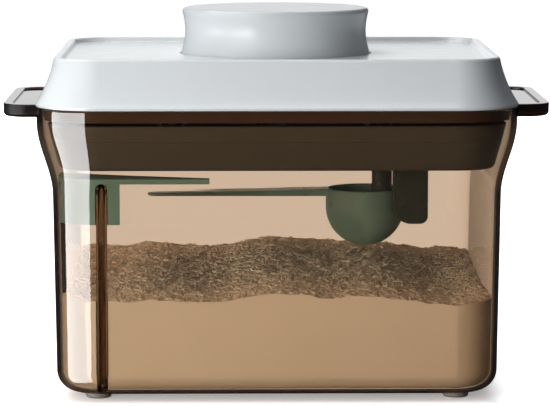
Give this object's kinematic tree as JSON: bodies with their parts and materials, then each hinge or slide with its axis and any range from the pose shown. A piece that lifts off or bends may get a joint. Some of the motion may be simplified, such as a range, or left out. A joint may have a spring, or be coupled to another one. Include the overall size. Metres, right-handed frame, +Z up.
{
  "type": "milk powder dispenser",
  "caption": "Rectangular see-through canister with ear tabs, a white lid with a round push button that works its seal, a scoop clipped under the lid, a corner leveller and powder inside.",
  "frame": {"origin": "on the table, under the middle of the canister", "axes": "+X to the right along the long side over the ear tabs, +Y to the back, +Z up along the travel of the button"},
  "size_m": [0.2364, 0.1654, 0.1647],
  "materials": {
    "amber_plastic": "gloss",
    "foot_rubber": "matte",
    "green_plastic": "satin",
    "milk_powder": "matte",
    "white_plastic": "gloss",
    "dark_plastic": "satin",
    "silicone": "satin",
    "steel": "satin",
    "natural_plastic": "satin"
  },
  "bodies": {
    "canister": {"container": "amber_plastic", "rubber_feet": "foot_rubber", "leveller": "green_plastic", "milk_powder": "milk_powder"},
    "lid": {"lid_shell": "white_plastic", "carrier_plate": "dark_plastic", "carrier_screws": "steel", "rocker_pins": "steel", "latch_cartridge": "natural_plastic", "return_spring": "steel"},
    "button": {"button": "white_plastic", "pusher": "natural_plastic", "pusher_screws": "steel"},
    "tray": {"seal_tray": "dark_plastic", "seal_gasket": "silicone", "scoop_holder": "dark_plastic", "holder_screws": "steel"},
    "rocker_right": {"rocker_right": "natural_plastic"},
    "rocker_back": {"rocker_back": "natural_plastic"},
    "rocker_left": {"rocker_left": "natural_plastic"},
    "rocker_front": {"rocker_front": "natural_plastic"},
    "scoop": {"scoop": "green_plastic"}
  },
  "joints": [
    {"name": "lid_lift", "type": "slide", "parent": "canister", "child": "lid", "axis": [0, 0, 1], "range_m": [0, 0.14]},
    {"name": "button_press", "type": "slide", "parent": "lid", "child": "button", "axis": [0, 0, -1], "range_m": [0, 0.012], "stiffness_N_per_m": 400, "springref_m": -0.012, "deforming": ["return_spring"]},
    {"name": "tray_rise", "type": "slide", "parent": "lid", "child": "tray", "axis": [0, 0, 1], "range_m": [0, 0.0025], "deforming": ["seal_gasket"]},
    {"name": "rocker_right_turn", "type": "hinge", "parent": "lid", "child": "rocker_right", "pos_m": [0.046, 0, 0.1137], "axis": [0, -1, 0], "range_deg": [0, 30]},
    {"name": "rocker_back_turn", "type": "hinge", "parent": "lid", "child": "rocker_back", "pos_m": [0, 0.046, 0.1137], "axis": [1, 0, 0], "range_deg": [0, 30]},
    {"name": "rocker_left_turn", "type": "hinge", "parent": "lid", "child": "rocker_left", "pos_m": [-0.046, 0, 0.1137], "axis": [0, 1, 0], "range_deg": [0, 30]},
    {"name": "rocker_front_turn", "type": "hinge", "parent": "lid", "child": "rocker_front", "pos_m": [0, -0.046, 0.1137], "axis": [-1, 0, 0], "range_deg": [0, 30]},
    {"name": "scoop_pull", "type": "slide", "parent": "tray", "child": "scoop", "axis": [0, 0, -1], "range_m": [0, 0.025], "deforming": ["milk_powder"]}
  ],
  "couplings": [
    {"joint": "tray_rise", "follows": "button_press", "ratio": 0.20833},
    {"joint": "rocker_right_turn", "follows": "button_press", "rad_per_m": 43.633},
    {"joint": "rocker_back_turn", "follows": "button_press", "rad_per_m": 43.633},
    {"joint": "rocker_left_turn", "follows": "button_press", "rad_per_m": 43.633},
    {"joint": "rocker_front_turn", "follows": "button_press", "rad_per_m": 43.633}
  ]
}
